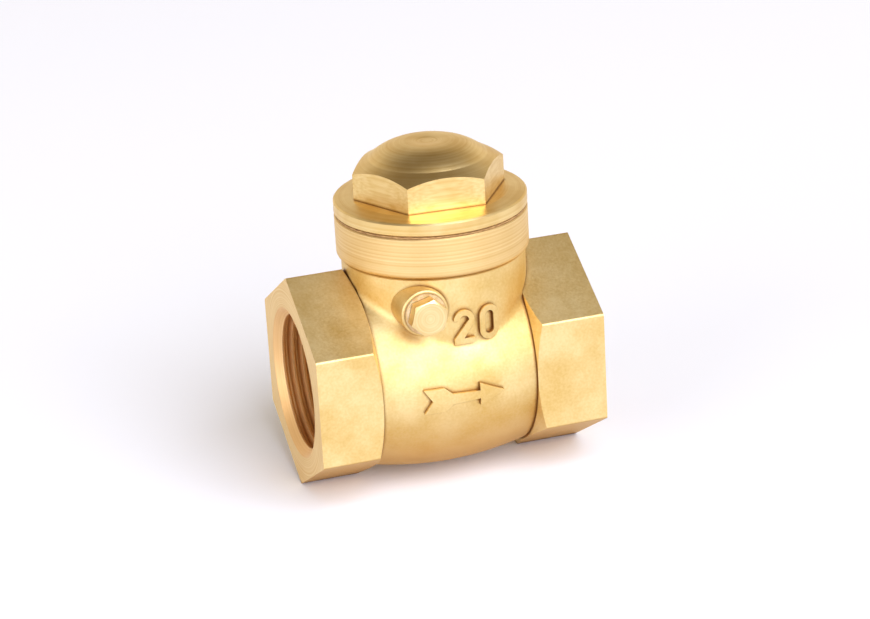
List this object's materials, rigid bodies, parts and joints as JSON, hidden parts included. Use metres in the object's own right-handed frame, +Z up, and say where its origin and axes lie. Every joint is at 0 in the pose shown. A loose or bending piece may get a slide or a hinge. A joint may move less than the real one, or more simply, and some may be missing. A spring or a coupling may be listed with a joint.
{
  "type": "swing check valve",
  "caption": "Threaded brass swing check valve: a hinged disc opens with the flow and falls shut, with a hexagonal bonnet cap and a hinge pin plug.",
  "frame": {"origin": "centre of the inlet end face, on the flow axis", "axes": "+X along the flow from inlet to outlet, +Z up towards the bonnet cap, -Y towards the side with the hinge pin plug and the flow arrow"},
  "size_m": [0.0523, 0.0382, 0.0604],
  "materials": {
    "cast_brass": "cast, bead blasted, with turned faces",
    "turned_brass": "turned and blasted",
    "plug_brass": "turned",
    "inner_brass": "turned",
    "stainless_pin": "ground",
    "fibre_gasket": "pressed fibre",
    "ptfe_ring": "smooth",
    "nitrile_facing": "moulded"
  },
  "bodies": {
    "body": {"valve_body": "cast_brass", "hinge_pin": "stainless_pin"},
    "swing_arm": {"hanger_arm": "inner_brass"},
    "disc": {"disc_holder": "inner_brass", "seat_disc": "nitrile_facing", "retaining_washer": "inner_brass", "retaining_screw": "inner_brass", "hanger_washer": "inner_brass", "hanger_nut": "inner_brass"},
    "cap_carrier": {"cap_gasket": "fibre_gasket"},
    "cap": {"bonnet_cap": "turned_brass"},
    "plug_carrier": {"plug_gasket": "ptfe_ring"},
    "plug": {"pin_plug": "plug_brass"}
  },
  "joints": [
    {"name": "disc_swing", "type": "hinge", "parent": "body", "child": "swing_arm", "pos_m": [0.01985, 0, 0.0156], "axis": [0, -1, 0], "range_deg": [0, 60]},
    {"name": "disc_spin", "type": "hinge", "parent": "swing_arm", "child": "disc", "pos_m": [0.022, 0, 0], "axis": [1, 0, 0], "continuous": true},
    {"name": "cap_lift", "type": "slide", "parent": "body", "child": "cap_carrier", "axis": [0, 0, 1], "range_m": [0, 0.0075]},
    {"name": "cap_unscrew", "type": "hinge", "parent": "cap_carrier", "child": "cap", "pos_m": [0.02705, 0, 0.03], "axis": [0, 0, 1], "range_deg": [0, 1800]},
    {"name": "plug_draw", "type": "slide", "parent": "body", "child": "plug_carrier", "axis": [0, -1, 0], "range_m": [0, 0.0045]},
    {"name": "plug_unscrew", "type": "hinge", "parent": "plug_carrier", "child": "plug", "pos_m": [0.01985, -0.0177, 0.0156], "axis": [0, -1, 0], "range_deg": [0, 2160]}
  ],
  "couplings": [
    {"joint": "cap_unscrew", "follows": "cap_lift", "rad_per_m": 4188.8},
    {"joint": "plug_unscrew", "follows": "plug_draw", "rad_per_m": 8377.6}
  ]
}
